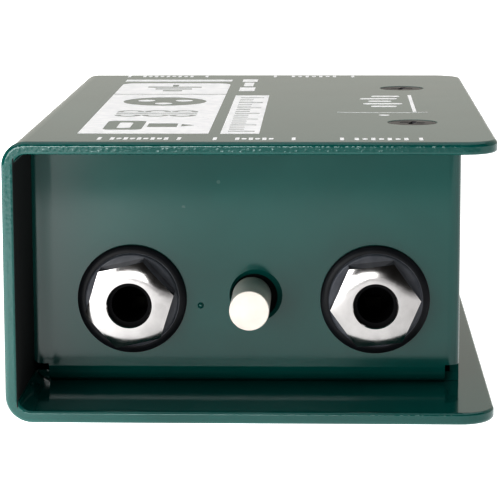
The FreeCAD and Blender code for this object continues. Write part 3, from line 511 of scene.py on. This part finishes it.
def marks(x, y, count, pitch):
    """A row of small alternating strokes and dots."""
    start = x - pitch * (count - 1) / 2
    shapes = []
    for k in range(count):
        at = start + pitch * k
        if k % 2:
            shapes.append(rounded(at - 0.42, at + 0.42, y - 1.1, y + 1.1, 0.4))
        else:
            shapes.append(rectangle(at - 0.36, at + 0.36, y - 1.7, y + 1.7))
    return shapes


def bracketed(x, y, half, count, pitch):
    ticks = [rectangle(x + s * half - 0.33, x + s * half + 0.33, y - 1.9, y + 1.9) for s in (-1, 1)]
    return ticks + marks(x, y, count, pitch)


def emblem():
    """Bars of different lengths with a thin arc below: a level-meter device."""
    outlines = []
    for k, (low, high) in enumerate(((21.4, 26.4), (20.0, 27.6), (21.0, 25.6), (19.4, 26.8), (21.8, 27.4))):
        y = -5.6 + 4.9 * k
        outlines.append(rounded(low, high, y, y + 2.3, 0.8))
    outlines.append(rectangle(29.1, 29.8, -14.6, 17.8))
    outlines.append(band(23.6, 34.0, 50.0, 0.5, 260.0, 279.5))
    outlines.append(disc(23.6, -20.4, 1.0))
    return outlines


def bar_and_tab():
    x0, x1 = BLOCK_X
    outlines = [rectangle(x0 - 0.1, x1, 47.2, 51.6)]
    outlines.append(rectangle(-5.2, -2.0, 46.4, 52.4))
    outlines.append(rectangle(-4.6, -2.6, 36.4, 44.6))
    outlines.append(rectangle(-5.2, -2.0, 26.0, 34.0))
    return outlines


def top_print(material):
    printed("print_diagram", diagram_block(), material)
    printed("print_ground", ground_block(), material)
    printed("print_bar", bar_and_tab(), material)
    printed("print_scale", scale_column(), material)
    printed("print_emblem", emblem(), material)
    printed("print_input_mark", bracketed(-18.9, -58.2, 6.8, 9, 1.15), material)
    printed("print_pad_mark", bracketed(0.7, -58.4, 6.7, 6, 1.15), material)
    printed("print_thru_mark", bracketed(22.3, -58.6, 6.7, 7, 1.4), material)
    printed("print_output_mark", bracketed(10.0, 59.4, 8.5, 7, 1.5), material)
    printed("print_lift_mark", bracketed(-22.0, 59.4, 8.5, 9, 1.3), material)


# Stage, light and camera


def stage_floor():
    """A wide white sheet. It glows unevenly, since the glossy front panel mirrors it."""
    half = 3.0
    mesh = bpy.data.meshes.new("floor")
    corners = [(-half, -half, 0), (half, -half, 0), (half, half, 0), (-half, half, 0)]
    mesh.from_pydata(corners, [], [(0, 1, 2, 3)])
    floor = bpy.data.objects.new("floor", mesh)
    bpy.context.scene.collection.objects.link(floor)
    material, tree, shader = new_material("floor_paper")
    cloud = between(tree, noise(tree, 0.4, 3.0), 0.3, 0.7)
    tree.links.new(mix(tree, cloud, grey(0.34), grey(0.36)), shader.inputs["Base Color"])
    shader.inputs["Roughness"].default_value = 0.75
    shader.inputs["Emission Color"].default_value = grey(1.0)
    place = node(tree, "SeparateXYZ", [("Vector", coords(tree))])
    in_front = between(tree, place.outputs["Y"], -0.058, -0.052, 1.0, 0.0)
    far = between(tree, place.outputs["Y"], -0.31, -0.30, 1.0, 0.0)
    left = between(tree, place.outputs["X"], -0.075, -0.012, 2.3, 1.0)
    right = between(tree, place.outputs["X"], 0.01, 0.05, 1.0, 0.77)
    sheet = times(tree, times(tree, left, right), 1.4)
    beyond = between(tree, place.outputs["X"], -0.08, -0.055, 1.9, 0.42)
    front = blend(tree, far, sheet, beyond)
    rear = between(tree, place.outputs["X"], -0.08, -0.06, 1.6, 0.85)
    glow = blend(tree, in_front, rear, front)
    tree.links.new(glow, shader.inputs["Emission Strength"])
    mesh.materials.append(material)


def area_light(name, at, target, width, height, power, colour=(1, 1, 1)):
    data = bpy.data.lights.new(name, "AREA")
    data.shape = "RECTANGLE"
    data.size = width
    data.size_y = height
    data.energy = power
    data.color = colour
    light = bpy.data.objects.new(name, data)
    light.location = at
    light.rotation_mode = "QUATERNION"
    light.rotation_quaternion = (Vector(target) - Vector(at)).to_track_quat("-Z", "Y")
    bpy.context.scene.collection.objects.link(light)


def world_light():
    """A studio with a white backdrop, a broad light overhead and a dim room in front."""
    world = bpy.data.worlds.new("studio")
    bpy.context.scene.world = world
    world.use_nodes = True
    tree = world.node_tree
    tree.nodes.clear()
    direction = node(tree, "SeparateXYZ", [("Vector", node(tree, "TexCoord").outputs["Generated"])])
    behind = between(tree, direction.outputs["Y"], -0.1, 0.1)
    overhead = between(tree, direction.outputs["Z"], 0.65, 0.8)
    level = mix(tree, overhead, mix(tree, behind, ROOM, BACKDROP), CEILING)
    back = node(tree, "Background", [("Color", level), ("Strength", 1.0)])
    out = node(tree, "OutputWorld")
    tree.links.new(back.outputs[0], out.inputs["Surface"])


ROOM = (0.02, 0.018, 0.016, 1)
BACKDROP = (0.55, 0.53, 0.49, 1)
CEILING = (1.35, 1.35, 1.38, 1)
SOFTBOX_AWAY = 0.85


def softbox(name, bearings, heights, radiance):
    """A soft light in front, between two bearings to the right of straight ahead and two heights,
    all in degrees as seen from the input panel."""
    start, end = bearings
    low, high = heights
    bearing = radians((start + end) / 2)
    height = radians((low + high) / 2)
    width = 2 * SOFTBOX_AWAY * tan(radians(end - start) / 2)
    tall = 2 * SOFTBOX_AWAY * tan(radians(high - low) / 2)
    ahead = cos(height) * SOFTBOX_AWAY
    at = (sin(bearing) * ahead, -0.05 - cos(bearing) * ahead, 0.025 + sin(height) * SOFTBOX_AWAY)
    area_light(name, at, (0, -0.05, 0.025), width, tall, radiance * 4 * width * tall)


def lights():
    world_light()
    softbox("key", (-38, -18), (0, 22), 5.8)
    softbox("fill", (-18, 2), (0, 10), 7.8)


CAMERA_AT = (0.013595, -0.452381, 0.095625)
CAMERA_YAW = -1.9872
CAMERA_PITCH = 9.3868
CAMERA_ROLL = -0.1648
LENS = 168.02


def camera():
    """A long lens from slightly above, almost square to the input panel."""
    yaw, pitch, roll = (radians(a) for a in (CAMERA_YAW, CAMERA_PITCH, CAMERA_ROLL))
    ahead = Vector((sin(yaw) * cos(pitch), cos(yaw) * cos(pitch), -sin(pitch)))
    level = Vector((cos(yaw), -sin(yaw), 0))
    upright = level.cross(ahead)
    right = level * cos(roll) + upright * sin(roll)
    up = upright * cos(roll) - level * sin(roll)
    data = bpy.data.cameras.new("camera")
    data.lens = LENS
    data.sensor_width = 36.0
    data.clip_start = 0.01
    data.clip_end = 20.0
    eye = bpy.data.objects.new("camera", data)
    eye.matrix_world = Matrix.Translation(CAMERA_AT) @ Matrix((right, up, -ahead)).transposed().to_4x4()
    bpy.context.scene.collection.objects.link(eye)
    bpy.context.scene.camera = eye


paint_nodes()
spring_finish = frame["nodes"]["pad_switch_spring"].data.materials[0]
return_spring("pad_switch", spring_finish)
return_spring("lift_switch", spring_finish)
top_print(ink())
stage_floor()
lights()
camera()
view = bpy.context.scene.view_settings
view.view_transform = "Standard"
view.gamma = 0.78
view.exposure = 0.35
